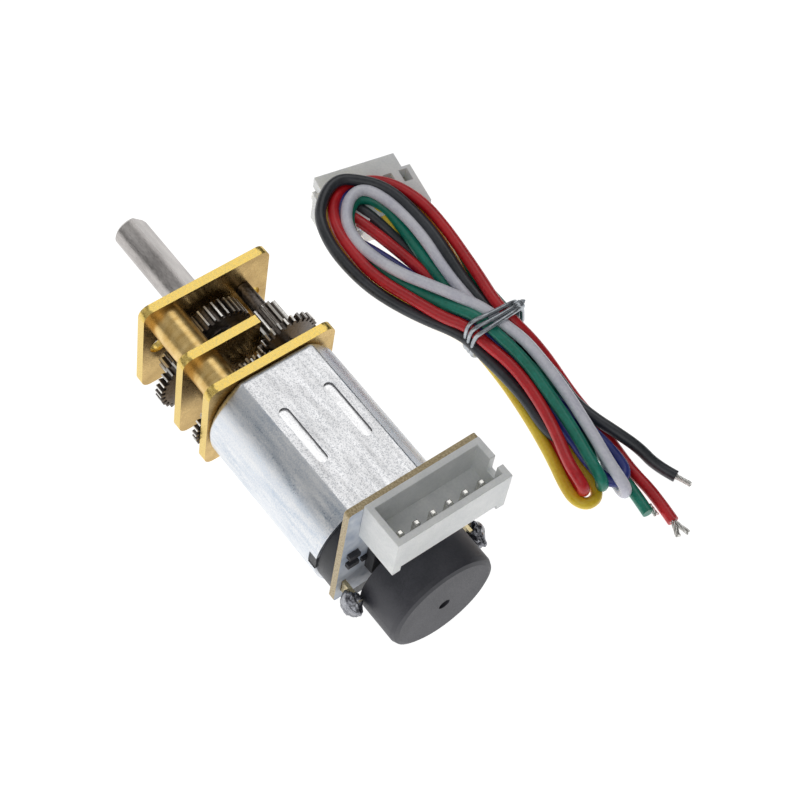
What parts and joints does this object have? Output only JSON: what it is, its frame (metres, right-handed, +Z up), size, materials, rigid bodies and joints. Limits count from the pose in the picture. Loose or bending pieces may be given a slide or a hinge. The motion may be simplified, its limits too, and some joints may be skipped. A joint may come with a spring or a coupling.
{
  "type": "geared dc motor",
  "caption": "Small geared DC motor: brass-plate spur gearbox with a D-shaped output shaft, flat-sided can, rear magnetic encoder board with pin header, and its tied lead set.",
  "frame": {"origin": "on the output shaft's axis, at the front face of the front plate, midway between the two mounting holes", "axes": "+X along the output shaft towards its free end, +Z up from the flat that the motor rests on, +Y across the plates"},
  "size_m": [0.0465, 0.0322, 0.0162],
  "materials": {
    "brass_plate": "blanked sheet brass, satin",
    "brass_post": "turned brass, satin",
    "screw_steel": "small steel screws",
    "shaft_steel": "ground steel, satin",
    "gear_steel": "hobbed and blackened steel",
    "zinc_can": "zinc-plated deep-drawn steel",
    "bronze": "sintered bronze",
    "ferrite": "sintered ferrite",
    "magnet_charcoal": "charcoal bonded ferrite",
    "core_steel": "stamped laminations",
    "enamelled_copper": "enamelled winding wire",
    "phenolic": "moulded phenolic",
    "copper": "polished copper",
    "terminal_brass": "thin spring brass",
    "black_plastic": "moulded black nylon",
    "circuit_board": "glass-fibre board with white mask",
    "white_nylon": "translucent white nylon",
    "tin_plate": "tin-plated",
    "solder": "solder",
    "chip_black": "moulded epoxy",
    "wire_pvc": "PVC insulation",
    "wire_black": "PVC insulation",
    "wire_red": "PVC insulation",
    "wire_green": "PVC insulation",
    "wire_white": "PVC insulation",
    "wire_yellow": "PVC insulation",
    "wire_blue": "PVC insulation",
    "tinned_strands": "tinned copper strands",
    "galvanised_wire": "galvanised soft wire"
  },
  "bodies": {
    "frame": {"black_wire_end": "wire_black", "board_components": "chip_black", "brush_springs": "terminal_brass", "encoder_board": "circuit_board", "end_cap": "black_plastic", "front_bearing": "bronze", "front_plate": "brass_plate", "front_posts": "brass_post", "gearbox_screws": "screw_steel", "green_wire_end": "wire_green", "hall_sensors": "chip_black", "header_pins": "tin_plate", "header_shell": "white_nylon", "left_arbor": "shaft_steel", "middle_plate": "brass_plate", "motor_can": "zinc_can", "motor_screws": "screw_steel", "motor_terminals": "terminal_brass", "output_bushing": "brass_post", "plug_contacts": "tin_plate", "plug_housing": "white_nylon", "rear_bearing": "bronze", "rear_plate": "brass_plate", "rear_posts": "brass_post", "red_wire_end": "wire_red", "right_arbor": "shaft_steel", "solder_joints": "solder", "stator_magnets": "ferrite", "tinned_wire_tips": "tinned_strands", "wire_bundle": "wire_pvc", "wire_tie": "galvanised_wire"},
    "rotor": {"motor_pinion": "gear_steel", "rotor_shaft": "shaft_steel", "armature_core": "core_steel", "armature_coils": "enamelled_copper", "commutator_hub": "phenolic", "commutator_segments": "copper", "magnet_disc": "magnet_charcoal"},
    "first_gear": {"first_stage_gear": "gear_steel"},
    "second_gear": {"second_stage_gear": "gear_steel"},
    "third_gear": {"third_stage_gear": "gear_steel"},
    "fourth_gear": {"fourth_stage_gear": "gear_steel"},
    "fifth_gear": {"fifth_stage_gear": "gear_steel"},
    "output": {"output_gear": "gear_steel", "output_shaft": "shaft_steel"}
  },
  "joints": [
    {"name": "rotor_spin", "type": "hinge", "parent": "frame", "child": "rotor", "pos_m": [-0.016, 0, 0], "axis": [1, 0, 0], "continuous": true},
    {"name": "first_gear_spin", "type": "hinge", "parent": "frame", "child": "first_gear", "pos_m": [-0.008, 0.0035, -0.00172], "axis": [1, 0, 0], "continuous": true},
    {"name": "second_gear_spin", "type": "hinge", "parent": "frame", "child": "second_gear", "pos_m": [-0.007, 0, 0], "axis": [1, 0, 0], "continuous": true},
    {"name": "third_gear_spin", "type": "hinge", "parent": "frame", "child": "third_gear", "pos_m": [-0.005, -0.0035, 0.00172], "axis": [1, 0, 0], "continuous": true},
    {"name": "fourth_gear_spin", "type": "hinge", "parent": "frame", "child": "fourth_gear", "pos_m": [-0.0042, 0, 0], "axis": [1, 0, 0], "continuous": true},
    {"name": "fifth_gear_spin", "type": "hinge", "parent": "frame", "child": "fifth_gear", "pos_m": [-0.003, 0.0035, -0.00172], "axis": [1, 0, 0], "continuous": true},
    {"name": "output_spin", "type": "hinge", "parent": "frame", "child": "output", "pos_m": [0, 0, 0], "axis": [1, 0, 0], "continuous": true}
  ],
  "couplings": [
    {"joint": "first_gear_spin", "follows": "rotor_spin", "ratio": -0.44444},
    {"joint": "second_gear_spin", "follows": "rotor_spin", "ratio": 0.19753},
    {"joint": "third_gear_spin", "follows": "rotor_spin", "ratio": -0.098765},
    {"joint": "fourth_gear_spin", "follows": "rotor_spin", "ratio": 0.038801},
    {"joint": "fifth_gear_spin", "follows": "rotor_spin", "ratio": -0.01338},
    {"joint": "output_spin", "follows": "rotor_spin", "ratio": 0.0046136}
  ]
}
